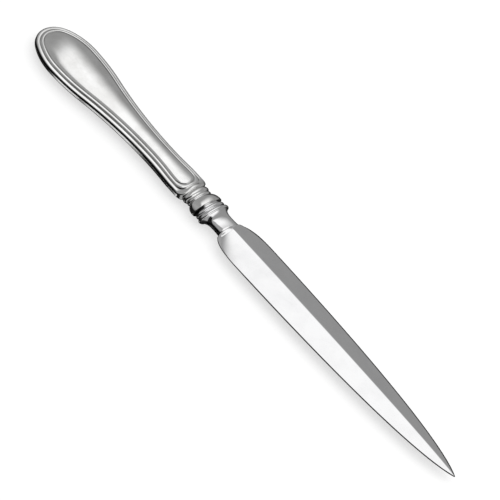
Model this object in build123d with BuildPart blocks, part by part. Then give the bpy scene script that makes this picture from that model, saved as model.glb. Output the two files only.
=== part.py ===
"""Letter opener with a hollow, thread-bordered silver handle and a ridged steel blade.

X runs from the butt of the handle to the tip of the blade, Y across the flat of the blade and Z
through its thickness. The origin is the centre of the whole object, on its long axis. Millimetres.
"""

import os
from math import sqrt

from build123d import *

# ---- lengths along the axis, from the butt to the tip ----
handle_length = 79.5  # butt to the mouth of the handle
ring_length = 2.3  # broad ring of the ferrule
step_length = 1.2  # narrow ring of the ferrule
bulb_length = 3.8  # cushion-shaped collar
groove_length = 0.7  # dark groove where handle and blade meet
bead_length = 1.4  # bead of the bolster
quirk_length = 0.3  # fine groove between bead and disc
disc_length = 1.5  # disc of the bolster
neck_length = 7.1  # hollow-curved neck
shoulder_length = 13.4  # rounded shoulders of the blade
point_length = 104.0  # from the widest place of the blade to its tip

# ---- handle ----
butt_round = 15.5  # length of the rounded butt, up to the widest place
belly_half = 10.75  # half width at the widest place
waist_to_mouth = 18.5  # from the narrowest place to the mouth
waist_half = 5.95
flare_length = 6.0  # from the flare back of the mouth to the mouth
flare_half = 6.5
nose_radius = 9.0  # tip of the butt, seen from above
belly_bend = 70.0  # radius of the side past the belly
flare_bend = 40.0  # radius of the side at the flare
mouth_corner = 2.2  # rounded corners beside the mouth
rim_height = 0.7  # upright wall of one half, from the seam to the border
belly_crown = 3.3  # half thickness at the belly
waist_crown = 2.6
mouth_crown = 2.45
shell_wall = 0.5  # struck sheet of the two halves
seam_gap = 0.1  # solder between the halves
outer_thread_width = 1.45  # the two threads of the border, from the rim inwards
inner_thread_width = 0.95
thread_groove = 0.25  # width of the groove beside each thread
groove_depth = 0.3
thread_round = 0.42  # rounding along both edges of the outer thread

# ---- collar and bolster, as half widths; they are ovals of one flatness ----
flatness = 0.47  # thickness over width
ring_half = 5.6
step_half = 5.25
bulb_start_half = 4.85
bulb_half = 6.6
groove_half = 5.2
bead_half = 6.25
disc_half = 6.75
neck_half = 4.25
neck_end_half = 4.4
neck_waist_place = 4.6  # from the disc to the narrowest place of the neck
collar_edge = 0.4  # bevel around the blade's end of the bulb
rest_height = 3.05  # half thickness left at the disc by the flat on which the opener lies
bore_half = 3.7  # passage through the collar for the tang
bore_height = 1.55

# ---- blade ----
blade_half = 8.75  # half width at its widest
edge_half = 0.2  # blunt edge, half its thickness
facet_slope = 0.245  # rise of the four facets from the edge to the ridge
facet_overhang = 0.5  # the facets are made this much too wide, then cut to the outline
tip_half = 0.25
edge_run = 49.0  # how far the edge stays nearly straight past the widest place
point_run = 13.0  # length and bow of the edge's curve at the point
point_bow = 6.3
shoulder_rise = 7.25  # half width to which the shoulder turns outwards at once
shoulder_run = 4.9  # length of that turn
root_sink = 0.1  # the blade's root lies this much inside the neck

# ---- tang ----
tang_length = 46.0
tang_root_half = 2.4
tang_end_half = 1.6
tang_half_thickness = 1.05
notch_radius = 0.5
notch_count = 5
notch_first = 12.0  # from the bolster to the first notch
notch_pitch = 7.0
tang_root = 1.0  # how far the tang reaches into the bolster

# ---- blocks that are cut back to the outline of the handle ----
block_margin = 0.6  # how far they stand out past the outline
block_depth = 4.0  # how far they reach below the seam

# ---- stations worked out from the lengths ----
border_width = outer_thread_width + inner_thread_width + 2 * thread_groove
overall_length = (handle_length + ring_length + step_length + bulb_length + groove_length + bead_length
                  + quirk_length + disc_length + neck_length + shoulder_length + point_length)
x_butt = -overall_length / 2
x_belly = x_butt + butt_round
x_mouth = x_butt + handle_length
x_waist = x_mouth - waist_to_mouth
x_flare = x_mouth - flare_length
x_step = x_mouth + ring_length
x_bulb = x_step + step_length
x_seat = x_bulb + bulb_length
x_bead = x_seat + groove_length
x_disc = x_bead + bead_length + quirk_length
x_neck = x_disc + disc_length
x_shoulder = x_neck + neck_length
x_widest = x_shoulder + shoulder_length
x_tip = x_widest + point_length
belly_rise = belly_crown - rim_height

# ---- radii that make the arcs of the handle's side run into each other without a corner ----
butt_bend = ((belly_half ** 2 + butt_round ** 2 - 2 * butt_round * nose_radius)
             / (2 * (belly_half - nose_radius)))
belly_drop = belly_half - waist_half
waist_bend = ((x_waist - x_belly) ** 2 + belly_drop ** 2) / (2 * belly_drop) - belly_bend
flare_climb = flare_half - waist_half
hollow_bend = ((x_flare - x_waist) ** 2 + flare_climb ** 2) / (2 * flare_climb) - flare_bend


def cross_plane(x):
    """Plane square to the axis at x, with its own X across the blade and its own Y upwards."""
    return Plane(origin=(x, 0, 0), x_dir=(0, 1, 0), z_dir=(1, 0, 0))


def arch_radius(half_width, rise):
    """Radius of the arc that spans twice half_width and rises by rise."""
    return (half_width ** 2 + rise ** 2) / (2 * rise)


def arch_height(crown, radius, y):
    """Height at y of an arch with that crown and radius."""
    return crown - radius + sqrt(radius ** 2 - y ** 2)


def towards(start, goal, distance):
    """Point at that distance from start on the line to goal."""
    return start + (goal - start).normalized() * distance


def half_outline(inset):
    """One side of the handle seen from above, drawn in by inset: tangent arcs from butt to mouth."""
    belly, waist, flare = belly_half - inset, waist_half - inset, flare_half - inset
    nose = Vector(x_butt + nose_radius, 0)
    shoulder = Vector(x_belly, belly_half - butt_bend)
    past_belly = Vector(x_belly, belly_half - belly_bend)
    before_waist = Vector(x_waist, waist_half + waist_bend)
    past_waist = Vector(x_waist, waist_half + hollow_bend)
    at_flare = Vector(x_flare, flare_half - flare_bend)
    end = x_mouth - inset
    corner = min(flare, mouth_corner + (flare_half - border_width - mouth_corner) * inset / border_width)
    shoulder_start = towards(shoulder, nose, butt_bend - inset)
    side_turn = towards(past_belly, before_waist, belly_bend - inset)
    flare_turn = towards(at_flare, past_waist, flare_bend - inset)
    RadiusArc((x_butt + inset, 0), shoulder_start, nose_radius - inset)
    RadiusArc(shoulder_start, (x_belly, belly), butt_bend - inset)
    RadiusArc((x_belly, belly), side_turn, belly_bend - inset)
    RadiusArc(side_turn, (x_waist, waist), -waist_bend - inset)
    RadiusArc((x_waist, waist), flare_turn, -hollow_bend - inset)
    RadiusArc(flare_turn, (x_flare, flare), flare_bend - inset)
    if end - corner > x_flare:
        Line((x_flare, flare), (end - corner, flare))
    RadiusArc((max(end - corner, x_flare), flare), (end, flare - corner), corner)
    if corner < flare:
        Line((end, flare - corner), (end, 0))


def side_half(x):
    """Half width of the handle at x, past the belly."""
    if x > x_flare:
        return flare_half
    if x > x_waist:
        return waist_half + hollow_bend - sqrt(hollow_bend ** 2 - (x - x_waist) ** 2)
    turn = x_belly + (x_waist - x_belly) * belly_bend / (belly_bend + waist_bend)
    if x > turn:
        return waist_half + waist_bend - sqrt(waist_bend ** 2 - (x - x_waist) ** 2)
    return belly_half - belly_bend + sqrt(belly_bend ** 2 - (x - x_belly) ** 2)


def side_crown(x):
    """Half thickness of the handle at x, past the belly: it follows the width, then stays level."""
    if x > x_waist:
        return waist_crown + (mouth_crown - waist_crown) * min(1, (x - x_waist) / (x_flare - x_waist))
    return waist_crown + (belly_crown - waist_crown) * (side_half(x) - waist_half) / belly_drop


def arch_stations(inset, sink):
    """Cross sections of a handle half drawn in by inset and lowered by sink.

    Each is (x, crown, arch radius, half width of the arch). Over the rounded butt the radius stays
    the same and the crown falls as a parabola, so the surface meets the rim at one height.
    """
    rim = rim_height - sink
    belly = belly_half - inset
    found = []
    for share in (1.04, 0.8, 0.5):
        x = x_belly - share * (butt_round - inset)
        found.append((x, rim + belly_rise * (1 - share ** 2), arch_radius(belly, belly_rise), belly))
    run = x_waist - x_belly
    for x in (x_belly, x_belly + run / 3, x_belly + 2 * run / 3, x_waist, x_flare, x_mouth + block_margin):
        half = side_half(x) - inset
        crown = side_crown(x) - sink
        found.append((x, crown, arch_radius(half, crown - rim), half))
    return found


def outline_prism(inset, floor):
    """Upright prism on the handle's outline drawn in by inset, standing on the height floor."""
    with BuildPart() as prism:
        with BuildSketch(Plane.XY.offset(floor)):
            with BuildLine():
                half_outline(inset)
                mirror(about=Plane.XZ)
            make_face()
        extrude(amount=2 * belly_crown)
    return prism.part


def arched_form(inset, sink):
    """Long arched body whose top is the surface of the handle, lowered by sink, with no outline yet."""
    with BuildPart() as form:
        for x, crown, radius, half in arch_stations(inset, sink):
            reach = half + block_margin
            low = arch_height(crown, radius, reach)
            with BuildSketch(cross_plane(x)):
                with BuildLine():
                    ThreePointArc((-reach, low), (0, crown), (reach, low))
                    Polyline((reach, low), (reach, -block_depth), (-reach, -block_depth), (-reach, low))
                make_face()
        loft()
    return form.part


def raised_band(outer_inset, inner_inset=None, rounding=0):
    """One thread of the border, or the panel where no inner_inset is given."""
    with BuildPart() as band:
        add(arched_form(0, 0))
        add(outline_prism(outer_inset, seam_gap / 2), mode=Mode.INTERSECT)
        if inner_inset is not None:
            add(outline_prism(inner_inset, seam_gap / 2), mode=Mode.SUBTRACT)
        if rounding:
            fillet(band.faces().sort_by(Axis.Z)[-1].edges(), radius=rounding)
    return band.part


def bead_arc(x_start, x_end, peak):
    """Half-round moulding between two stations, standing out to the half width peak."""
    foot = peak - (x_end - x_start) / 2
    ThreePointArc((x_start, foot), ((x_start + x_end) / 2, peak), (x_end, foot))
    return foot


def blade_section(x, half_width, ridge, overhang=0):
    """Six-sided section of the blade: two blunt edges and a ridge above and below."""
    slope = (ridge - edge_half) / half_width
    side, low = half_width + overhang, edge_half - slope * overhang
    with BuildSketch(cross_plane(x)) as section:
        Polygon((-side, -low), (0, -ridge), (side, -low), (side, low), (0, ridge), (-side, low), align=None)
    return section.sketch


edge_points = ((x_widest, blade_half), (x_widest + edge_run, blade_half),
               (x_tip - point_run, point_bow), (x_tip, tip_half))


def blade_line(side, above):
    """Edge of the blade at side 1 or -1, or its ridge at side 0, on the upper or lower face."""
    corners = []
    for x, half in edge_points:
        rise = facet_slope * half if side == 0 else 0
        corners.append(Vector(x, side * half, above * (edge_half + rise)))
    return Edge.make_bezier(*corners)


# ---- bore for the tang, through the mouth of the handle and the collar ----
with BuildPart() as bore:
    with BuildSketch(cross_plane(x_flare)):
        Ellipse(bore_half, bore_height)
    extrude(amount=x_seat - x_flare)

# ---- space inside the handle, above the seam ----
with BuildPart() as hollow:
    add(arched_form(shell_wall, shell_wall))
    add(outline_prism(shell_wall, 0), mode=Mode.INTERSECT)

# ---- blade: bolster, neck, point and tang are one forging ----
with BuildPart() as bolster:
    with BuildSketch():
        with BuildLine():
            bead_foot = bead_half - bead_length / 2
            disc_foot = disc_half - disc_length / 2
            neck_waist = (x_neck + neck_waist_place, neck_half)
            neck_end = (x_shoulder + facet_overhang, neck_end_half)
            Polyline((x_seat, 0), (x_seat, groove_half), (x_bead, groove_half), (x_bead, bead_foot))
            bead_arc(x_bead, x_bead + bead_length, bead_half)
            Polyline((x_bead + bead_length, bead_foot), (x_disc, bead_foot), (x_disc, disc_foot))
            bead_arc(x_disc, x_neck, disc_half)
            Bezier((x_neck, disc_foot), (x_neck + neck_waist_place / 4, neck_half),
                   (x_neck + neck_waist_place / 2, neck_half), neck_waist)
            TangentArc(neck_waist, neck_end, tangent=(1, 0))
            Polyline(neck_end, (neck_end[0], 0), (x_seat, 0))
        make_face()
    revolve(axis=Axis.X)
    with BuildSketch(Plane.XY.offset(-rest_height / flatness)):
        with Locations((x_neck, 0)):
            Rectangle(4 * disc_length, 2 * disc_half)
    extrude(amount=-disc_half, mode=Mode.SUBTRACT)
    scale(by=(1, 1, flatness))

with BuildPart() as blade_shoulder:
    neck_ridge = neck_end_half * flatness
    full_ridge = edge_half + facet_slope * blade_half
    loft([
        blade_section(x_shoulder, blade_half, neck_ridge, facet_overhang),
        blade_section(x_widest, blade_half, full_ridge, facet_overhang),
    ])
    with BuildSketch(Plane.XY.offset(-blade_half)):
        with BuildLine():
            root_half = neck_end_half - root_sink
            Polyline((x_shoulder, 0), (x_shoulder, root_half))
            Bezier((x_shoulder, root_half), (x_shoulder + facet_overhang, shoulder_rise),
                   (x_shoulder + shoulder_run, blade_half), (x_widest, blade_half))
            Polyline((x_widest, blade_half), (x_widest, 0))
            mirror(about=Plane.XZ)
        make_face()
    extrude(amount=2 * blade_half, mode=Mode.INTERSECT)

point_faces = []
for side in (1, -1):
    for above in (1, -1):
        point_faces.append(Face.make_surface_from_curves(blade_line(side, above), blade_line(0, above)))
    point_faces.append(Face.make_surface_from_curves(blade_line(side, 1), blade_line(side, -1)))
for x, half in (edge_points[0], edge_points[-1]):
    point_faces.append(blade_section(x, half, edge_half + facet_slope * half).face())

with BuildPart() as blade_point:
    add(Solid(Shell(point_faces)))

with BuildPart() as tang:
    with BuildSketch(Plane.XY.offset(-tang_half_thickness)):
        x_end = x_seat - tang_length
        Polygon((x_seat + tang_root, tang_root_half), (x_end, tang_end_half), (x_end, -tang_end_half),
                (x_seat + tang_root, -tang_root_half), align=None)
        for n in range(notch_count):
            x_notch = x_seat - notch_first - n * notch_pitch
            half = tang_end_half + (tang_root_half - tang_end_half) * (x_notch - x_end) / tang_length
            with Locations((x_notch, half), (x_notch, -half)):
                Circle(notch_radius, mode=Mode.SUBTRACT)
    extrude(amount=2 * tang_half_thickness)

with BuildPart() as blade:
    add(bolster.part)
    add(blade_shoulder.part)
    add(blade_point.part)
    add(tang.part)

# ---- the two struck halves of the handle ----
inner_thread_start = outer_thread_width + thread_groove
with BuildPart() as handle_front_shell:
    add(arched_form(0, groove_depth))
    add(outline_prism(outer_thread_width / 2, seam_gap / 2), mode=Mode.INTERSECT)
    add(raised_band(0, outer_thread_width, thread_round))
    add(raised_band(inner_thread_start, inner_thread_start + inner_thread_width))
    add(raised_band(border_width))
    add(hollow.part, mode=Mode.SUBTRACT)
    add(bore.part, mode=Mode.SUBTRACT)

with BuildPart() as handle_back_shell:
    add(handle_front_shell.part)
    mirror(about=Plane.XY, mode=Mode.REPLACE)

# ---- solder that joins the two halves ----
with BuildPart() as seam_solder:
    with BuildSketch(Plane.XY.offset(-seam_gap / 2)):
        with BuildLine():
            half_outline(0)
            mirror(about=Plane.XZ)
        make_face()
        with BuildLine():
            half_outline(shell_wall)
            mirror(about=Plane.XZ)
        make_face(mode=Mode.SUBTRACT)
    extrude(amount=seam_gap)
    add(bore.part, mode=Mode.SUBTRACT)

# ---- cement that fills the handle and holds the tang ----
with BuildPart() as handle_cement:
    add(hollow.part)
    mirror(about=Plane.XY)
    add(bore.part)
    add(tang.part, mode=Mode.SUBTRACT)
    split(bisect_by=cross_plane(x_seat), keep=Keep.BOTTOM)

# ---- stepped ring soldered over the mouth of the handle ----
with BuildPart() as ring_ferrule:
    with BuildSketch():
        with BuildLine():
            ring_foot = ring_half - ring_length / 2
            step_foot = step_half - step_length / 2
            Polyline((x_mouth, 0), (x_mouth, ring_foot))
            bead_arc(x_mouth, x_step, ring_half)
            Polyline((x_step, ring_foot), (x_step, step_foot))
            bead_arc(x_step, x_bulb, step_half)
            Polyline((x_bulb, step_foot), (x_bulb, 0), (x_mouth, 0))
        make_face()
    revolve(axis=Axis.X)
    scale(by=(1, 1, flatness))
    add(bore.part, mode=Mode.SUBTRACT)

# ---- cushion-shaped collar ----
with BuildPart() as bulb_collar:
    with BuildSketch():
        with BuildLine():
            Polyline((x_seat, 0), (x_bulb, 0), (x_bulb, bulb_start_half))
            Bezier((x_bulb, bulb_start_half), (x_bulb + bulb_length / 4, bulb_half - collar_edge),
                   (x_bulb + bulb_length / 2, bulb_half), (x_seat - collar_edge, bulb_half))
            Polyline((x_seat - collar_edge, bulb_half), (x_seat, bulb_half - collar_edge), (x_seat, 0))
        make_face()
    revolve(axis=Axis.X)
    scale(by=(1, 1, flatness))
    add(bore.part, mode=Mode.SUBTRACT)

handle_front_shell.part.label = "handle_front_shell"
handle_back_shell.part.label = "handle_back_shell"
seam_solder.part.label = "seam_solder"
handle_cement.part.label = "handle_cement"
ring_ferrule.part.label = "ring_ferrule"
bulb_collar.part.label = "bulb_collar"
blade.part.label = "blade"

os.makedirs("parts", exist_ok=True)
for piece in (handle_front_shell, handle_back_shell, seam_solder, handle_cement, ring_ferrule, bulb_collar,
              blade):
    export_step(piece.part, f"parts/{piece.part.label}.step")
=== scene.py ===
# %% [markdown]
# # A letter opener with a hollow silver handle
#
# The real object is made of two struck silver halves soldered along a seam, a stepped ring and
# a cushion-shaped collar, and one forged steel blade whose bolster, neck and point are a single
# piece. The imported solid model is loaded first, as a fixed frame. The surfaces made below stand
# where its solids stand, within a few tenths of a millimetre, and never outside its box.
# Everything is in metres, X runs from the butt of the handle to the tip of the blade, Z is up,
# and the seam of the handle lies at height zero.

import math

import bpy
import numpy as np
from mathutils import Matrix, Vector


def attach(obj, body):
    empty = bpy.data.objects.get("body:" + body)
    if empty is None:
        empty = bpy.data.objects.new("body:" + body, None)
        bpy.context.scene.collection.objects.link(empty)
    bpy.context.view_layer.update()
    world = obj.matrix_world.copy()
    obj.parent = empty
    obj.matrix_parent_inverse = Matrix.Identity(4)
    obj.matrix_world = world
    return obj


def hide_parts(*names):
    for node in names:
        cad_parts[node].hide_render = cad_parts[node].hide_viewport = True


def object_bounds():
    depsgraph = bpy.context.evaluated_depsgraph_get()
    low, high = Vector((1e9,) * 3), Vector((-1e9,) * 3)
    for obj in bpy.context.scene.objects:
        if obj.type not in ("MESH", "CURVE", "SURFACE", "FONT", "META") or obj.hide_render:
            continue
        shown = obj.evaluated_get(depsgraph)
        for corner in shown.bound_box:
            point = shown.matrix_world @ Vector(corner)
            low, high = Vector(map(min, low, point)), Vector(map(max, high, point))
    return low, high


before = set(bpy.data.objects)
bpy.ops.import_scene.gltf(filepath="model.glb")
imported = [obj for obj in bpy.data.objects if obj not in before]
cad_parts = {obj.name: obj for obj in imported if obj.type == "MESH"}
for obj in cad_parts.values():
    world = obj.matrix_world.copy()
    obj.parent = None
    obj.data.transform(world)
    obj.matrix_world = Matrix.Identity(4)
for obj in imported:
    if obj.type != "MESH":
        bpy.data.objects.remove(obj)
cad_low, cad_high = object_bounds()
print("solids:", sorted(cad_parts))
print("box in mm:", [round(1000 * v, 2) for v in (*cad_low, *cad_high)])

# %% [markdown]
# A polished metal thing shows its surroundings more than itself, so its surfaces have to be
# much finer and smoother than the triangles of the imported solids. Subdividing those would keep
# their facets. Each visible piece is therefore worked out again from the same measures, as a
# function of two parameters on a grid. One helper turns any such grid into a mesh: it joins
# neighbouring grid points into triangles, welds points that fall together, so that seams and
# poles are closed, and turns the faces outwards. Steep folds stay sharp and the rest is shaded
# smooth.

# %% A grid of points becomes a piece
MM = 0.001
WELD = 2e-8  # points nearer than this become one


def piece_from_grid(name, grid, painted_dark=None, fold=40):
    """Mesh piece from a closed grid: rows run from one pole to the other, columns go round.

    Each cell of four neighbours gives two triangles. The optional values from 0 to 1 per grid
    point are painted dark reflection and shade, kept as an attribute that tells a material how dark to go.
    """
    rows, columns = grid.shape[:2]
    index = np.arange(rows * columns).reshape(rows, columns)
    index = np.hstack([index, index[:, :1]])
    a, b, c, d = index[:-1, :-1], index[1:, :-1], index[1:, 1:], index[:-1, 1:]
    triangles = np.concatenate([np.stack([a, b, c], -1), np.stack([a, c, d], -1)]).reshape(-1, 3)
    points = grid.reshape(-1, 3)
    cell = np.round(points / WELD).astype(np.int64)
    _, first, same = np.unique(cell, axis=0, return_index=True, return_inverse=True)
    points, triangles = points[first], same.reshape(-1)[triangles]
    a, b, c = triangles.T
    triangles = triangles[(a != b) & (b != c) & (c != a)]
    corners = points[triangles]
    volume = np.einsum("ij,ij->", corners[:, 0], np.cross(corners[:, 1], corners[:, 2])) / 6
    if volume < 0:
        triangles = triangles[:, ::-1]
    mesh = bpy.data.meshes.new(name)
    mesh.vertices.add(len(points))
    mesh.vertices.foreach_set("co", points.astype(np.float32).ravel())
    mesh.loops.add(triangles.size)
    mesh.loops.foreach_set("vertex_index", triangles.astype(np.int32).ravel())
    mesh.polygons.add(len(triangles))
    mesh.polygons.foreach_set("loop_start", np.arange(0, triangles.size, 3, dtype=np.int32))
    mesh.polygons.foreach_set("use_smooth", np.ones(len(triangles), bool))
    if painted_dark is not None:
        mesh.attributes.new("painted_dark", "FLOAT", "POINT")
        mesh.attributes["painted_dark"].data.foreach_set("value", painted_dark.reshape(-1)[first].astype(np.float32))
    mesh.update(calc_edges=True)
    mesh.set_sharp_from_angle(angle=math.radians(fold))
    piece = bpy.data.objects.new(name, mesh)
    bpy.context.scene.collection.objects.link(piece)
    print(f"{name}: {len(triangles)} triangles, {abs(volume) * 1e9:.0f} cubic mm")
    return piece


# %% [markdown]
# The stations along the axis are the joints between the parts: the mouth of the handle, the
# ring, the collar, the bolster, the neck, the shoulders and the point. They are the same as in
# the solid model, so the lengths are repeated here in millimetres and added up.

# %% Stations along the axis
handle_length, ring_length, step_length, bulb_length = 79.5, 2.3, 1.2, 3.8
groove_length, bead_length, quirk_length, disc_length = 0.7, 1.4, 0.3, 1.5
neck_length, shoulder_length, point_length = 7.1, 13.4, 104.0
stations = np.cumsum([0, handle_length, ring_length, step_length, bulb_length, groove_length,
                      bead_length + quirk_length, disc_length, neck_length, shoulder_length,
                      point_length])
stations -= stations[-1] / 2
(x_butt, x_mouth, x_step, x_bulb, x_seat, x_bead, x_disc, x_neck,
 x_shoulder, x_widest, x_tip) = stations
print("butt, mouth and tip:", x_butt, x_mouth, x_tip)

# %% [markdown]
# The handle seen from above is a spoon shape: a round butt, a belly, a long waist and a slight
# flare at the mouth. A die sinker lays such a line out with compasses, as circular arcs that
# run into each other without a corner. A freehand spline could look the same, but it has no
# true parallels. Drawing the arcs again a little further in gives arcs with the same centres,
# so the border's threads follow the rim all the way round at an even width. That is why the
# outline is a function of two parameters: how far along, and how far in.

# %% Outline of the handle
butt_round, belly_half, waist_half = 15.5, 10.75, 5.95
waist_to_mouth, flare_length, flare_half = 18.5, 6.0, 6.5
nose_radius, belly_bend, flare_bend, mouth_corner = 9.0, 70.0, 40.0, 2.2
x_belly, x_waist, x_flare = x_butt + butt_round, x_mouth - waist_to_mouth, x_mouth - flare_length
border_width = 2.9
butt_bend = ((belly_half ** 2 + butt_round ** 2 - 2 * butt_round * nose_radius)
             / (2 * (belly_half - nose_radius)))
belly_drop, flare_climb = belly_half - waist_half, flare_half - waist_half
waist_bend = ((x_waist - x_belly) ** 2 + belly_drop ** 2) / (2 * belly_drop) - belly_bend
hollow_bend = ((x_flare - x_waist) ** 2 + flare_climb ** 2) / (2 * flare_climb) - flare_bend


def arc(centre, radius, start, end, count):
    """Points on arcs: centre + radius times (cos, sin) of angles from start to end, in degrees."""
    share = np.linspace(0, 1, count)[:, None]
    angle = np.radians(start + (end - start) * share)
    return np.stack([centre[0] + radius * np.cos(angle), centre[1] + radius * np.sin(angle)], -1)


def line(start, end, count):
    """Points at even steps on the straight line from start to end."""
    share = np.linspace(0, 1, count)[:, None, None]
    return np.stack(start, -1) * (1 - share) + np.stack(end, -1) * share


def bearing(centre, other):
    """Direction from one centre to another, in degrees."""
    return math.degrees(math.atan2(other[1] - centre[1], other[0] - centre[0]))


def handle_outline(inset):
    """Closed outline of the handle drawn in by each value of inset: (along, inset, xy).

    One side is seven tangent arcs and two lines, from the butt to the middle of the mouth, and
    the other side is its mirror image. Two arcs meet on the line through their centres.
    """
    inset = np.atleast_1d(np.asarray(inset, float))[None, :]
    nose, shoulder = (x_butt + nose_radius, 0), (x_belly, belly_half - butt_bend)
    past_belly, before_waist = (x_belly, belly_half - belly_bend), (x_waist, waist_half + waist_bend)
    past_waist, at_flare = (x_waist, waist_half + hollow_bend), (x_flare, flare_half - flare_bend)
    turn_butt = bearing(shoulder, nose)
    turn_side = bearing(past_belly, before_waist)
    turn_flare = bearing(at_flare, past_waist)
    half, end = flare_half - inset, x_mouth - inset
    corner_growth = (flare_half - border_width - mouth_corner) * inset / border_width
    corner = np.minimum(half, mouth_corner + corner_growth)
    corner_start = np.minimum(x_flare, end - corner)
    flare_end = np.degrees(np.arccos((corner_start - x_flare) / (flare_bend - inset)))
    flat = np.zeros_like(inset)
    parts = [
        arc(nose, nose_radius - inset, 180, turn_butt, 44),
        arc(shoulder, butt_bend - inset, turn_butt, 90, 36),
        arc(past_belly, belly_bend - inset, 90, turn_side, 34),
        arc(before_waist, waist_bend + inset, turn_side + 180, 270, 48),
        arc(past_waist, hollow_bend + inset, 270, turn_flare + 180, 16),
        arc(at_flare, flare_bend - inset, turn_flare, flare_end, 9),
        line((corner_start + flat, half), (end - corner, half), 3),
        arc((end - corner, half - corner), corner, 90, 0, 16),
        line((end, half - corner), (end, flat), 8),
    ]
    side = np.concatenate([parts[0]] + [part[1:] for part in parts[1:]])
    other = side[-2:0:-1] * (1, -1)
    return np.concatenate([side, other])


print("points round the handle:", len(handle_outline(0)))

# %% [markdown]
# Across, each half is a low arch, as a punch leaves it in sheet silver. Its crown is highest at
# the belly and follows the width down to the waist, and over the rounded butt it falls as a
# parabola. A circle through the two edges and the crown is the plainest arch that a file and
# a gauge can check, so the height is that of a circle whose radius changes along the handle.

# %% Height of the handle
rim_height, belly_crown, waist_crown, mouth_crown = 0.7, 3.3, 2.6, 2.45
belly_rise = belly_crown - rim_height


def side_half(x):
    """Half width past the belly: height of the belly, waist and flare arcs over the axis."""
    turn = x_belly + (x_waist - x_belly) * belly_bend / (belly_bend + waist_bend)
    belly = belly_half - belly_bend + np.sqrt(belly_bend ** 2 - (np.minimum(x, turn) - x_belly) ** 2)
    waist = waist_half + waist_bend - np.sqrt(waist_bend ** 2 - (x - x_waist) ** 2)
    hollow = waist_half + hollow_bend - np.sqrt(hollow_bend ** 2 - (x - x_waist) ** 2)
    return np.where(x < turn, belly, np.where(x < x_waist, waist, np.minimum(hollow, flare_half)))


def arch_height(x, y):
    """Height of the handle's plain surface: crown - radius + root(radius^2 - y^2).

    The radius spans the local width and rise. Over the butt it stays that of the belly, and
    the crown is the rim plus the belly's rise times 1 - share^2.
    """
    past = np.maximum(x, x_belly)
    half = side_half(past)
    share = np.clip((past - x_waist) / (x_flare - x_waist), 0, 1)
    share = share * share * (3 - 2 * share)
    crown = np.where(past < x_waist,
                     waist_crown + (belly_crown - waist_crown) * (half - waist_half) / belly_drop,
                     waist_crown + (mouth_crown - waist_crown) * share)
    rise = crown - rim_height
    radius = (half ** 2 + rise ** 2) / (2 * rise)
    fall = belly_rise * np.clip((x_belly - x) / butt_round, 0, None) ** 2
    return crown - fall - radius + np.sqrt(np.maximum(radius ** 2 - y ** 2, 0))


print("crown at belly and waist:", arch_height(x_belly, 0.0), arch_height(x_waist, 0.0))

# %% [markdown]
# The border is a double thread: a broad rounded one at the rim, a fine groove, a narrow one,
# a second groove and the edge of the smooth panel. A bevel or a sculpted line would wander, so
# the border is one profile, carried round the outline. Each thread is rounded by arcs on both
# sides, and its crown is slightly arched, so that it catches a thin bright line. The grooves get
# painted shade and the outermost line a painted dark reflection, and the profile says how much.

# %% Profile of the border
groove_depth = 0.09
outer_thread, inner_thread = (0.0, 1.62, 0.5, 0.8), (1.66, 2.84, 0.9, 0.8)  # start, end, two roundings
panel_start, panel_shoulder, panel_sink = 2.88, 0.8, 0.1
thread_crown = 0.1  # drop of a thread's edges below its middle
groove_painted_shade, first_groove = 0.22, 0.7  # painted shade in the grooves, and the inset past which they lie
rim_line, rim_fade = 0.42, 0.12  # width of the painted dark reflection along the rim, and of its soft edge


def thread_profile(start, end, rise, fall, low_start, low_end):
    """Rows of one thread as (inset, height, middle): round up, crowned top, round down.

    The height on a rounding of radius r is r * (sin a - 1), with the angle a between 90 degrees
    at the top and the angle where the height reaches low. The crown takes off thread_crown times
    the square of the distance from the middle.
    """
    first, last = np.arcsin(max(0.0, 1 - low_start / rise)), np.arcsin(max(0.0, 1 - low_end / fall))
    up, down = np.linspace(first, np.pi / 2, 10), np.linspace(np.pi / 2, last, 10)
    from_start, from_end = rise * (np.cos(first) - np.cos(up)), fall * (np.cos(last) - np.cos(down))
    top = np.linspace(start + from_start[-1], end - from_end[0], 9)[1:-1]
    inset = np.concatenate([start + from_start, top, end - from_end])
    height = np.concatenate([rise * (np.sin(up) - 1), 0 * top, fall * (np.sin(down) - 1)])
    middle, reach = (start + end) / 2, (end - start) / 2
    height = height - thread_crown * np.clip(np.abs(inset - middle) / reach, 0, 1) ** 2
    return np.stack([inset, height, middle + 0 * inset], -1)


def border_profile():
    """Rows of the border from rim to panel as (inset, height over the arch, middle of its thread)."""
    outer = thread_profile(*outer_thread, outer_thread[2], groove_depth)
    inner = thread_profile(*inner_thread, groove_depth, groove_depth)
    away = np.linspace(1, 0, 9)
    edge = np.stack([panel_start + panel_shoulder * (1 - away), -panel_sink * away ** 2, 0 * away], -1)
    edge[:, 2] = edge[:, 0]
    return np.concatenate([outer, inner, edge])


border_inset, border_height, border_middle = border_profile().T
# painted shade in the grooves, and a painted dark reflection along the rim
in_groove = np.clip(-2 * border_height / groove_depth - 1, 0, 1) * (border_inset > first_groove)
along_rim = np.clip((rim_line - border_inset) / rim_fade, 0, 1)
border_painted_dark = np.maximum(groove_painted_shade * in_groove, along_rim)
print("rows of the border:", len(border_inset))

# %% [markdown]
# Each half of the handle is one piece of sheet silver, half a millimetre thick, struck in a die.
# Inside the border the panel has no second family of offsets to follow, because the outline
# would fold over itself. Instead each row is drawn a share of the way from the panel's edge to
# a spine on the axis, which both sides reach at the same point. The inside of the struck sheet
# is made in the same way, further in, and both are joined along the seam, so the half is a
# closed sheet as the real one is. The back is the same die the other way up.

# %% One half of the handle
shell_wall, seam_half = 0.5, 0.05  # thickness of the sheet, and half of the line of solder
thread_slope = 0.35  # how much of the arch's slope the top of a thread keeps
panel_spine, hollow_spine = (5.4, 3.0), (8.0, 5.5)  # from the edge to the spine, at butt and mouth
mouth_bare = 2.2  # no painted dark reflection and shade this near to the mouth


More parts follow.
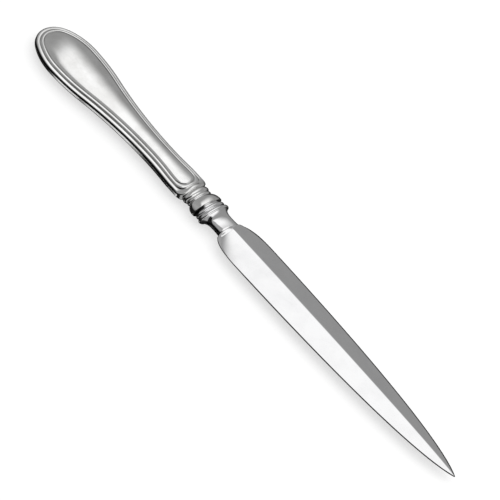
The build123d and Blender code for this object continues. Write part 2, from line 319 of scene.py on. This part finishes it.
def filled(edge, start, end, shares):
    """Rows from a closed edge to a spine on the axis: edge + (spine - edge) times share.

    The spine runs from start to end, and a point of the edge goes to the spine's point at the
    same share of the length.
    """
    x = edge[:, 0]
    spine = np.stack([start + (end - start) * (x - x.min()) / np.ptp(x), 0 * x], -1)
    return edge[:, None] + (spine - edge)[:, None] * np.asarray(shares)[None, :, None]


def half_handle(name, upside):
    """Closed sheet of one half: hollow inside, seam face, wall, border and panel.

    Height of the border: that of the arch under its thread's middle, plus thread_slope times
    what the arch rises from there, plus the profile.
    """
    border, middle = handle_outline(border_inset), handle_outline(border_middle)
    arch, arch_middle = arch_height(*border.transpose(2, 0, 1)), arch_height(*middle.transpose(2, 0, 1))
    z_border = arch_middle + thread_slope * (arch - arch_middle) + border_height
    edge = border[:, -1]
    panel = filled(edge, edge[:, 0].min() + panel_spine[0], edge[:, 0].max() - panel_spine[1],
                   np.linspace(0, 1, 29)[1:])
    z_panel = arch_height(panel[..., 0], panel[..., 1])
    rim = handle_outline([0.0])
    low = z_border[:, :1]
    wall = np.repeat(rim, 4, axis=1)
    z_wall = seam_half + (low - seam_half) * np.linspace(0, 1, 5)[None, :4]
    lip = handle_outline([shell_wall])
    inner_edge = lip[:, 0]
    inner = filled(inner_edge, inner_edge[:, 0].min() + hollow_spine[0],
                   inner_edge[:, 0].max() - hollow_spine[1], np.linspace(1, 0, 14))
    z_inner = np.maximum(arch_height(inner[..., 0], inner[..., 1]) - shell_wall * 1.3, seam_half + 0.1)
    z_seam = seam_half + 0 * z_wall[:, :1]
    plan = np.concatenate([inner, lip, wall, border, panel], axis=1)
    height = np.concatenate([z_inner, z_seam, z_wall, z_border, z_panel], axis=1)
    # painted dark reflection and shade: half on the wall's row at the seam, then the border's rim line and
    # grooves, none on the panel
    painted_dark = np.concatenate([0 * z_inner, 0 * z_seam, 0 * z_wall + [0.5, 0, 0, 0],
                           0 * z_border + border_painted_dark, 0 * z_panel], axis=1)
    painted_dark *= np.clip(x_mouth - mouth_bare - plan[..., 0], 0, 1)
    grid = np.concatenate([plan, (height * upside)[..., None]], -1) * MM
    return piece_from_grid(name, grid.transpose(1, 0, 2), painted_dark.T)


front_half = half_handle("handle_front", 1)
back_half = half_handle("handle_back", -1)

# %% [markdown]
# The ring and the collar are turned work, as is the bolster of the blade: a profile of beads,
# steps and hollows that a lathe would give, pressed to an oval. A stack of scaled cylinders
# would have corners where the real ones are rounded. So each is its profile carried round the
# axis, with the height taken down to the same share of the width everywhere.

# %% Turned profiles
flatness = 0.47  # height of every turned oval as a share of its width


def bead(start, end, peak, count=40):
    """Half-round moulding: radius peak - r + root(r^2 - t^2) over t, the distance to its middle."""
    radius = (end - start) / 2
    angle = np.linspace(np.pi, 0, count)
    return np.stack([(start + end) / 2 + radius * np.cos(angle), peak - radius + radius * np.sin(angle)], -1)


def bezier(*corners, count=40):
    """Points on the curve whose weights are the terms of ((1 - t) + t) to the power of its degree."""
    t, degree = np.linspace(0, 1, count)[:, None], len(corners) - 1
    return sum(math.comb(degree, k) * (1 - t) ** (degree - k) * t ** k * np.asarray(corner, float)
               for k, corner in enumerate(corners))


def turned(profile, around=288):
    """Grid of a profile (x, half width) carried round the axis as an oval: y = h cos a, z = f h sin a."""
    angle = np.linspace(0, 2 * np.pi, around, endpoint=False)[None, :]
    x, half = profile[:, :1], profile[:, 1:]
    return np.stack([x + 0 * angle, half * np.cos(angle), flatness * half * np.sin(angle)], -1) * MM


def capped(profile):
    """The profile with a point on the axis at each end, so that the turned shape is closed."""
    return np.concatenate([[(profile[0, 0], 0)], profile, [(profile[-1, 0], 0)]])


print("points on one bead:", len(bead(x_mouth, x_step, 1.0)))

# %% [markdown]
# The ring is two beads of different width side by side, soldered over the mouth of the handle.
# The collar is a cushion that swells towards the blade and ends in a rounded edge. Its end at
# the groove between it and the bolster gets painted shade and dark reflection, here on the near
# side.

# %% Ring and collar
ring_half, step_half, bulb_start_half, bulb_half, collar_edge = 5.6, 5.25, 4.85, 6.6, 0.4


def near_side(y):
    """1 from three millimetres off the axis on the near side, falling to 0 at two."""
    return np.clip(-2.0 - y, 0, 1)


ring_profile = np.concatenate([bead(x_mouth, x_step, ring_half), bead(x_step, x_bulb, step_half)])
bulb_profile = np.concatenate([
    bezier((x_bulb, bulb_start_half), (x_bulb + bulb_length / 4, bulb_half - collar_edge),
           (x_bulb + bulb_length / 2, bulb_half), (x_seat - collar_edge, bulb_half)),
    bezier((x_seat - collar_edge, bulb_half), (x_seat, bulb_half), (x_seat, bulb_half - collar_edge),
           count=8)[1:],
])
bulb_grid = turned(capped(bulb_profile))
bulb_x, bulb_y = bulb_grid[..., 0] / MM, bulb_grid[..., 1] / MM
# painted shade and dark reflection on the collar's end at the groove, on the near side only
bulb_painted_dark = np.clip((bulb_x - x_seat + 0.3) / 0.1, 0, 1) * near_side(bulb_y)
ring = piece_from_grid("stepped_ring", turned(capped(ring_profile)))
collar = piece_from_grid("cushion_collar", bulb_grid, bulb_painted_dark)

# %% [markdown]
# The blade is forged in one piece with its bolster. From the collar outwards come a groove, a
# bead, a disc and a hollow neck that swells into the shoulders, and from there on a long blade
# with two curved edges. Separate pieces for them would show a joint that the forging hasn't
# got, so the whole blade is one list of stations: at each place along the axis, how wide and
# how thick it is.

# %% Stations of the blade
groove_half, bead_half, disc_half = 5.2, 6.25, 6.75
neck_half, neck_end_half, neck_waist_place = 4.25, 4.4, 4.6
blade_half, edge_half, facet_slope, tip_half = 8.75, 0.2, 0.245, 0.25
edge_run, point_run, point_bow = 49.0, 13.0, 6.3
shoulder_rise, shoulder_run, facet_overhang = 7.25, 4.9, 0.5
full_ridge, neck_low = edge_half + facet_slope * blade_half, 1.86
thinnest, neck_swell, ridge_run = 0.55, 1.25, 1.8  # where the neck is thinnest, and how it grows
bead_foot, disc_foot = bead_half - bead_length / 2, disc_half - disc_length / 2


def blade_stations():
    """Every station from the collar to the tip as (x, half width, half thickness).

    The neck is thinnest at a little over half its length, and its thickness grows from there
    with the square of the distance on both sides.
    """
    bolster = np.concatenate([
        [(x_seat, 0), (x_seat, groove_half), (x_bead, groove_half)],
        bead(x_bead, x_bead + bead_length, bead_half),
        [(x_bead + bead_length, bead_foot), (x_disc, bead_foot)],
        bead(x_disc, x_neck, disc_half)])
    bolster = np.column_stack([bolster, flatness * bolster[:, 1]])
    neck = bezier((x_neck, disc_foot), (x_neck + neck_waist_place / 4, neck_half),
                  (x_neck + neck_waist_place / 2, neck_half - 0.1), (x_shoulder - 1.2, neck_half - 0.05),
                  (x_shoulder, neck_end_half), count=46)[1:]
    share = (neck[:, 0] - x_neck) / neck_length
    before = share < thinnest
    swell = np.where(before, flatness * disc_foot - neck_low, full_ridge - neck_low)
    away = np.where(before, 1 - share / thinnest, (share - thinnest) / (neck_swell - thinnest))
    thick = neck_low + swell * away ** 2
    neck = np.column_stack([neck, thick])
    shoulder = bezier((x_shoulder, neck_end_half), (x_shoulder + facet_overhang, shoulder_rise),
                      (x_shoulder + shoulder_run, blade_half), (x_widest, blade_half), count=70)[1:]
    rise = np.clip((shoulder[:, 0] - x_shoulder) / ridge_run, 0, 1)
    rise = thick[-1] + (full_ridge - thick[-1]) * rise * (2 - rise)
    edge = bezier((x_widest, blade_half), (x_widest + edge_run, blade_half), (x_tip - point_run, point_bow),
                  (x_tip, tip_half), count=130)[1:]
    return np.concatenate([bolster, neck, np.column_stack([shoulder, rise]),
                           np.column_stack([edge, edge_half + facet_slope * edge[:, 1]]), [(x_tip, 0, 0)]])


print("stations of the blade:", len(blade_stations()))

# %% [markdown]
# The section of the bolster and the neck is an oval, and that of the blade a flat lozenge with a
# ridge above and below and a narrow rounded edge. Cutting one out of the other would leave a
# hard line all round. Instead the two sections are mixed at every point of one grid, and the
# share of the lozenge grows from nothing to all of it within two millimetres. That leaves the
# soft line, bent like a U, with which the facets begin on the real blade. A little flat on the
# bolster's underside is what the opener rests on.

# %% Skin of the blade
edge_band, root_band, root_run = 0.3, 1.9, 0.75 * shoulder_length  # rounded edge, its width at the root
ridge_round, rest_height = 0.35, 3.05
root_bulge, bulge_run = 0.4, 22.0  # fall of the near facet's edge at the root, and how far it reaches
far_line, far_root_line, near_line = 0.75, 0.8, 0.3  # widths of the painted dark reflections along the ground edges
flank_painted_dark = 0.34  # the neck's flanks get painted dark reflection up to the angle with this sine


def between(x, start, end):
    """0 at start and end and beyond, 1 from half a millimetre inside them."""
    return np.clip((x - start) / 0.5, 0, 1) * np.clip((end - x) / 0.5, 0, 1)


def blade_painted_dark(x, y, half, angle, root):
    """Painted dark reflection and shade along the ground edges, the groove's near side and the neck's
    flanks.
    """
    line_width = np.where(y > 0, far_line + far_root_line * root, near_line)
    edges = np.clip((np.abs(y) - half + line_width) / 0.1, 0, 1) * np.clip(x - x_shoulder - 1.0, 0, 1)
    groove = (x < x_bead + 0.15) * near_side(y)
    flanks = (between(x, x_disc + 0.8, x_shoulder - 0.6)
              * np.clip((flank_painted_dark - np.abs(np.sin(angle))) / 0.1, 0, 1))
    return np.maximum(np.maximum(edges, groove), flanks)


def blade_grid(around=224):
    """Grid of the blade: at angle a the width is half * cos a, and the height mixes two sections.

    The oval's height is thick * (sin a)^p, p falling from 1 to 0.6 along the neck, so its top
    is a little flat. The lozenge's is thick - bulge - slope * |y|, brought down to nothing over
    the edge band by the factor (1 - t^2)^q, t going from 0 to 1 over the band. A q of 0.5 rounds
    the edge off, and the larger q at the root lets the facet swing down softly. The bulge is
    root_bulge times (y / half)^2 on the near side, and fades out along the blade.
    """
    angle = np.linspace(0, 2 * np.pi, around, endpoint=False)[None, :]
    x, half, thick = (column[:, None] for column in blade_stations().T)
    y = half * np.cos(angle)
    share = np.clip((x - x_shoulder + 0.6) / 2.2, 0, 1)
    share = share * share * (3 - 2 * share)
    root = 1 - np.clip((x - x_shoulder) / root_run, 0, 1)
    band = np.minimum(edge_band + (root_band - edge_band) * root ** 2, 0.6 * half + 1e-9)
    t = np.clip((np.abs(y) - half + band) / band, 0, 1)
    bulge_fade = (1 - np.clip((x - x_shoulder) / bulge_run, 0, 1)) ** 1.5
    bulge = root_bulge * bulge_fade * (np.minimum(y, 0) / np.maximum(half, 1)) ** 2
    roof = thick - bulge - facet_slope * np.hypot(y, ridge_round * (1 - root))
    facet = np.maximum(roof, 0) * (1 - t * t) ** (0.5 + 0.6 * root)
    flat_top = 1 - 0.4 * np.clip((x - x_neck - 0.5) / 3, 0, 1)
    oval = thick * np.abs(np.sin(angle)) ** flat_top
    height = (oval + (facet - oval) * share) * np.sign(np.sin(angle) + 1e-12)
    height = np.where(np.abs(np.sin(angle)) < 1e-9, 0, height)
    height = np.where(x < x_neck + 0.1, np.maximum(height, -rest_height), height)
    return np.stack([x + 0 * angle, y, height], -1) * MM, blade_painted_dark(x, y, half, angle, root)


blade = piece_from_grid("blade_and_bolster", *blade_grid(), fold=20)

# %% [markdown]
# ## Finishes
#
# The handle is silver and the blade is steel, and both are nearly neutral. A photographed
# texture would be blurred and have light baked into it, so a metal finish is worked out: a
# metallic surface whose colour and roughness change a little from place to place, with hairline
# scratches as a bump. Where a piece carries painted dark reflection and shade as an attribute,
# its colour goes towards a dark grey and it gets duller. One small helper adds a node and sets
# it up.

# %% Polished metal
# colour and added roughness of the painted dark reflection and shade
painted_dark_colour, painted_dark_dulling = (0.06, 0.06, 0.06, 1), 0.2


def node(tree, kind, values=(), **settings):
    """Adds one node, sets its options and its unlinked inputs."""
    made = tree.nodes.new(kind)
    for key, value in settings.items():
        setattr(made, key, value)
    for key, value in dict(values).items():
        made.inputs[key].default_value = value
    return made


def metal(name, colour, worn, rough, scratch_scale, scratch_depth, with_painted_dark=False):
    """Polished metal: base colour mottled towards worn, roughness from noise, scratch bump."""
    material = bpy.data.materials.new(name)
    material.use_nodes = True
    tree = material.node_tree
    tree.nodes.clear()
    link = tree.links.new
    out = node(tree, "ShaderNodeOutputMaterial")
    shader = node(tree, "ShaderNodeBsdfPrincipled", {"Metallic": 1.0, "IOR": 1.5})
    place = node(tree, "ShaderNodeTexCoord")
    cloud = node(tree, "ShaderNodeTexNoise", {"Scale": 130.0, "Detail": 5.0, "Roughness": 0.6})
    link(place.outputs["Object"], cloud.inputs["Vector"])
    mottle = node(tree, "ShaderNodeMapRange",
                  {"From Min": 0.42, "From Max": 0.75, "To Min": 0.0, "To Max": 0.5})
    link(cloud.outputs["Fac"], mottle.inputs["Value"])
    mix = node(tree, "ShaderNodeMix", data_type="RGBA")
    mix.inputs[6].default_value, mix.inputs[7].default_value = colour, worn
    link(mottle.outputs["Result"], mix.inputs[0])
    colour_out = mix.outputs[2]
    gloss = node(tree, "ShaderNodeMapRange",
                 {"From Min": 0.3, "From Max": 0.7, "To Min": rough[0], "To Max": rough[1]})
    link(cloud.outputs["Fac"], gloss.inputs["Value"])
    roughness = gloss.outputs["Result"]
    # painted dark reflection and shade from the attribute: darker colour and more roughness
    if with_painted_dark:
        painted_dark = node(tree, "ShaderNodeAttribute", attribute_name="painted_dark")
        dark = node(tree, "ShaderNodeMix", data_type="RGBA")
        dark.inputs[7].default_value = painted_dark_colour
        link(painted_dark.outputs["Fac"], dark.inputs[0])
        link(colour_out, dark.inputs[6])
        colour_out = dark.outputs[2]
        dull = node(tree, "ShaderNodeMath", {1: painted_dark_dulling}, operation="MULTIPLY_ADD")
        link(painted_dark.outputs["Fac"], dull.inputs[0])
        link(roughness, dull.inputs[2])
        roughness = dull.outputs[0]
    link(colour_out, shader.inputs["Base Color"])
    link(roughness, shader.inputs["Roughness"])
    turn = node(tree, "ShaderNodeMapping", {"Scale": scratch_scale})
    link(place.outputs["Object"], turn.inputs["Vector"])
    hair = node(tree, "ShaderNodeTexNoise", {"Scale": 1.0, "Detail": 3.0, "Roughness": 0.7})
    link(turn.outputs["Vector"], hair.inputs["Vector"])
    bump = node(tree, "ShaderNodeBump", {"Strength": 1.0, "Distance": scratch_depth})
    link(hair.outputs["Fac"], bump.inputs["Height"])
    link(bump.outputs["Normal"], shader.inputs["Normal"])
    link(shader.outputs["BSDF"], out.inputs["Surface"])
    print(f"{name}: roughness {rough[0]} to {rough[1]}")
    return material


# %% [markdown]
# The silver is softer than the steel and has faint scratches from polishing, which run along the
# handle more than round it. The steel has fine lines across the blade from its last grinding.
# The solder is duller and grainy, since no wheel gets into the seam.

# %% Silver, steel and solder
silver = metal("silver", (0.93, 0.93, 0.925, 1), (0.62, 0.61, 0.59, 1), (0.07, 0.13),
               (900.0, 2600.0, 2600.0), 1.2e-6, with_painted_dark=True)
steel = metal("blade_steel", (0.90, 0.90, 0.905, 1), (0.78, 0.78, 0.79, 1), (0.06, 0.11),
              (3200.0, 260.0, 260.0), 0.8e-6, with_painted_dark=True)
solder = metal("silver_solder", (0.82, 0.82, 0.80, 1), (0.45, 0.44, 0.42, 1), (0.25, 0.45),
               (900.0, 900.0, 900.0), 3e-6)

# %% [markdown]
# The cement that holds the tang is a brown resin with mineral dust in it. It is dull and grainy,
# so two colours are mixed by a fine noise, and the same noise raises the surface a little.

# %% Cement
def plain(name, colour, other, scale, rough, bump_depth):
    """Dull mineral finish: two colours mixed by noise, with a grainy bump."""
    material = bpy.data.materials.new(name)
    material.use_nodes = True
    tree = material.node_tree
    link = tree.links.new
    shader = tree.nodes["Principled BSDF"]
    shader.inputs["Roughness"].default_value = rough
    place = node(tree, "ShaderNodeTexCoord")
    grain = node(tree, "ShaderNodeTexNoise", {"Scale": scale, "Detail": 6.0})
    link(place.outputs["Object"], grain.inputs["Vector"])
    mix = node(tree, "ShaderNodeMix", data_type="RGBA")
    mix.inputs[6].default_value, mix.inputs[7].default_value = colour, other
    link(grain.outputs["Fac"], mix.inputs[0])
    link(mix.outputs[2], shader.inputs["Base Color"])
    bump = node(tree, "ShaderNodeBump", {"Strength": 0.6, "Distance": bump_depth})
    link(grain.outputs["Fac"], bump.inputs["Height"])
    link(bump.outputs["Normal"], shader.inputs["Normal"])
    print(f"{name}: roughness {rough}")
    return material


cement = plain("cement", (0.16, 0.12, 0.09, 1), (0.26, 0.21, 0.16, 1), 900.0, 0.85, 2e-5)

# %% [markdown]
# Each new piece takes its finish and stands in for one solid of the frame, which is hidden. The
# seam's solder and the cement are plain enough in the solid model, so those two solids stay as
# they are and only get a finish.

# %% Finishes on the pieces
for piece, finish, slot, nodes in (
        (front_half, silver, "silver", ["handle_front_shell"]),
        (back_half, silver, "silver", ["handle_back_shell"]),
        (ring, silver, "silver", ["ring_ferrule"]),
        (collar, silver, "silver", ["bulb_collar"]),
        (blade, steel, "blade_steel", ["blade"])):
    piece.data.materials.append(finish)
    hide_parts(*nodes)
    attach(piece, "root")
    print(f"{piece.name} in {finish.name} stands for {nodes[0]}")
for name, finish in (("seam_solder", solder), ("handle_cement", cement)):
    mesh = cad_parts[name].data
    mesh.materials.clear()
    mesh.materials.append(finish)

# %% [markdown]
# ## Stage, light and camera
#
# The opener lies on a white sheet that runs out to a white background. A brighter lamp would
# make the sheet white but also burn out the metal. So the sheet is a mid-grey matte surface that
# glows a little for the viewer only: it is white wherever no shadow falls, and the shadow stays.

# %% Floor
floor_z = cad_low[2]
sheet_grey, sheet_glow = 0.5, 0.61
bpy.ops.mesh.primitive_plane_add(size=4, location=(0, 0, floor_z))
floor = bpy.context.object
floor.name = "floor"
floor.visible_glossy = False
sheet = bpy.data.materials.new("white_sheet")
sheet.use_nodes = True
tree = sheet.node_tree
tree.nodes.clear()
out = node(tree, "ShaderNodeOutputMaterial")
matte = node(tree, "ShaderNodeBsdfDiffuse", {"Color": (sheet_grey, sheet_grey, sheet_grey, 1)})
glow = node(tree, "ShaderNodeEmission", {"Color": (1, 1, 1, 1), "Strength": sheet_glow})
seen = node(tree, "ShaderNodeLightPath")
none = node(tree, "ShaderNodeEmission", {"Strength": 0.0})
lift = node(tree, "ShaderNodeMixShader")
both = node(tree, "ShaderNodeAddShader")
tree.links.new(seen.outputs["Is Camera Ray"], lift.inputs[0])
tree.links.new(none.outputs[0], lift.inputs[1])
tree.links.new(glow.outputs[0], lift.inputs[2])
tree.links.new(matte.outputs[0], both.inputs[0])
tree.links.new(lift.outputs[0], both.inputs[1])
tree.links.new(both.outputs[0], out.inputs["Surface"])
floor.data.materials.append(sheet)
print("sheet at height:", round(1000 * floor_z, 2), "mm")

# %% [markdown]
# Polished metal has no look of its own: it needs a room to mirror. Lamps and cards could be hung
# round it one by one, but then each would also light the sheet. Here the room is a function of
# the direction alone, which only mirrored rays see. The main parameter is the lean, an angle
# from straight overhead: positive towards the near side, negative towards the far side. The
# other is how much the direction points to the tip. A few small helpers keep the formulas
# short.

# %% Helpers for the room
world = bpy.data.worlds.new("studio")
bpy.context.scene.world = world
world.use_nodes = True
tree = world.node_tree
tree.nodes.clear()
link = tree.links.new


def maths(operation, first, second):
    """One Math node; first and second are sockets or numbers."""
    made = node(tree, "ShaderNodeMath", operation=operation)
    for place, value in enumerate((first, second)):
        if isinstance(value, (int, float)):
            made.inputs[place].default_value = value
        else:
            link(value, made.inputs[place])
    return made.outputs[0]


def soft_step(value, start, end):
    """0 before start and 1 after end, with a smooth rise between."""
    made = node(tree, "ShaderNodeMapRange", {"From Min": start, "From Max": end},
                interpolation_type="SMOOTHSTEP")
    link(value, made.inputs["Value"])
    return made.outputs["Result"]


def outside(value):
    """One minus the value."""
    return maths("SUBTRACT", 1.0, value)


def window(value, start, rise, fall, end):
    """1 between rise and fall, 0 outside start and end."""
    return maths("MULTIPLY", soft_step(value, start, rise), outside(soft_step(value, fall, end)))


def blend(share, first, second):
    """first where share is 0 and second where it is 1; second may be a grey level."""
    made = node(tree, "ShaderNodeMix", data_type="RGBA")
    link(share, made.inputs[0])
    link(first, made.inputs[6])
    if isinstance(second, float):
        made.inputs[7].default_value = (second, second, second, 1)
    else:
        link(second, made.inputs[7])
    return made.outputs[2]


direction = node(tree, "ShaderNodeTexCoord")
split = node(tree, "ShaderNodeSeparateXYZ")
link(direction.outputs["Generated"], split.inputs[0])
x_part, y_part, z_part = split.outputs
lean = maths("MULTIPLY", maths("ARCTAN2", maths("MULTIPLY", y_part, -1.0), z_part), 180 / math.pi)
print("parameters of the room: lean and x_part")

# %% [markdown]
# The walls are grey overhead and black low down on both sides, which gives the thin dark outline
# of every rounded end and the black lines along the near side of the handle. A strip of light
# lies low down on the near side. Dark cards cover the walls in front and most of that strip, so
# the neck and the butt of the handle get their black planes. Far out past the tip the room is an
# even grey, so that the metal isn't black when it is seen from behind the handle. A white window
# hangs above the far side and makes the white plane of the blade and the glow of the panel. It
# stands a little askew, so its near edge comes nearer towards the tip. A second window ahead
# brightens the surfaces that face the tip.

# %% Walls, windows and cards
# Lean in degrees, and how bright the walls are there.
levels = [(-180, 0.02), (-98, 0.02), (-88, 0.15), (-77, 0.30), (0, 0.33), (16, 0.38), (34, 0.32),
          (50, 0.2), (62, 0.01), (129, 0.01), (134, 1.0), (153, 1.0), (157, 0.03), (180, 0.03)]
card_level, end_level, window_level = 0.01, 0.36, 1.06

walls = node(tree, "ShaderNodeValToRGB")
ramp = walls.color_ramp
for place, (angle, level) in enumerate(levels):
    stop = ramp.elements[place] if place < 2 else ramp.elements.new(1.0)
    stop.position = (angle + 180) / 360
    stop.color = (level, level, level, 1)
link(maths("DIVIDE", maths("ADD", lean, 180.0), 360.0), walls.inputs[0])

askew = maths("SUBTRACT", lean, maths("MULTIPLY", maths("ADD", x_part, 0.35), 60.0))
above = maths("MULTIPLY", window(askew, -64.0, -30.0, -12.0, -4.0),
              window(x_part, -0.62, -0.36, -0.1, 0.03))
ahead = maths("MULTIPLY", window(lean, -50.0, -38.0, -8.0, 2.0), soft_step(x_part, 0.2, 0.34))
windows = maths("MAXIMUM", above, ahead)

slanted = maths("ADD", lean, maths("MULTIPLY", x_part, 100.0))
in_front = maths("MULTIPLY", soft_step(slanted, 14.0, 26.0), window(lean, -14.0, -6.0, 118.0, 128.0))
strip = window(x_part, -0.36, -0.28, -0.12, -0.06)  # the part of the strip that no card covers
below = maths("MULTIPLY", window(lean, 120.0, 128.0, 158.0, 162.0), outside(strip))
cards = maths("MAXIMUM", in_front, below)

carded = blend(cards, walls.outputs[0], card_level)
ended = blend(soft_step(x_part, 0.54, 0.64), carded, end_level)
mirrored = blend(windows, ended, window_level)
print("levels of the walls:", len(levels))

# %% [markdown]
# Rays that aren't mirrored see a plain white room, brighter on the far side, so that the shadow
# falls to the near side. The viewer sees the background as pure white.

# %% The finished studio
path = node(tree, "ShaderNodeLightPath")
room = node(tree, "ShaderNodeMapRange", {"From Min": -1.0, "From Max": 1.0, "To Min": 0.6, "To Max": 1.25})
link(y_part, room.inputs["Value"])
lit = blend(path.outputs["Is Glossy Ray"], room.outputs["Result"], mirrored)
background = node(tree, "ShaderNodeBackground", {"Strength": 1.0})
link(blend(path.outputs["Is Camera Ray"], lit, 1.0), background.inputs["Color"])
world_out = node(tree, "ShaderNodeOutputWorld")
link(background.outputs[0], world_out.inputs["Surface"])
print("nodes in the world:", len(tree.nodes))

# %% [markdown]
# The camera looks down at about 45 degrees, mostly from the side and a little from the tip, and
# is rolled so that the opener runs from the top left to the bottom right. It stands far away
# with a long lens, because a near one would make the tip larger than the butt. Its right and
# back directions give the rest.

# %% Camera
right = Vector((0.6348, 0.7039, 0.3188)).normalized()
back = Vector((0.3473, -0.6284, 0.6961)).normalized()
up = back.cross(right).normalized()
right = up.cross(back)
centre = Vector((0.10, 1.24, 0)) * MM
distance, picture_width = 4.0, 0.1662
camera = bpy.data.objects.new("camera", bpy.data.cameras.new("camera"))
bpy.context.scene.collection.objects.link(camera)
stand = centre + back * distance
camera.matrix_world = Matrix(((right[0], up[0], back[0], stand[0]), (right[1], up[1], back[1], stand[1]),
                              (right[2], up[2], back[2], stand[2]), (0, 0, 0, 1)))
camera.data.sensor_width = 36
camera.data.lens = 36 * distance / picture_width
camera.data.clip_start, camera.data.clip_end = 0.5, 20
bpy.context.scene.camera = camera
bpy.context.scene.view_settings.view_transform = "Standard"
print("camera height over the sheet:", round(stand[2] - floor_z, 3), "m")
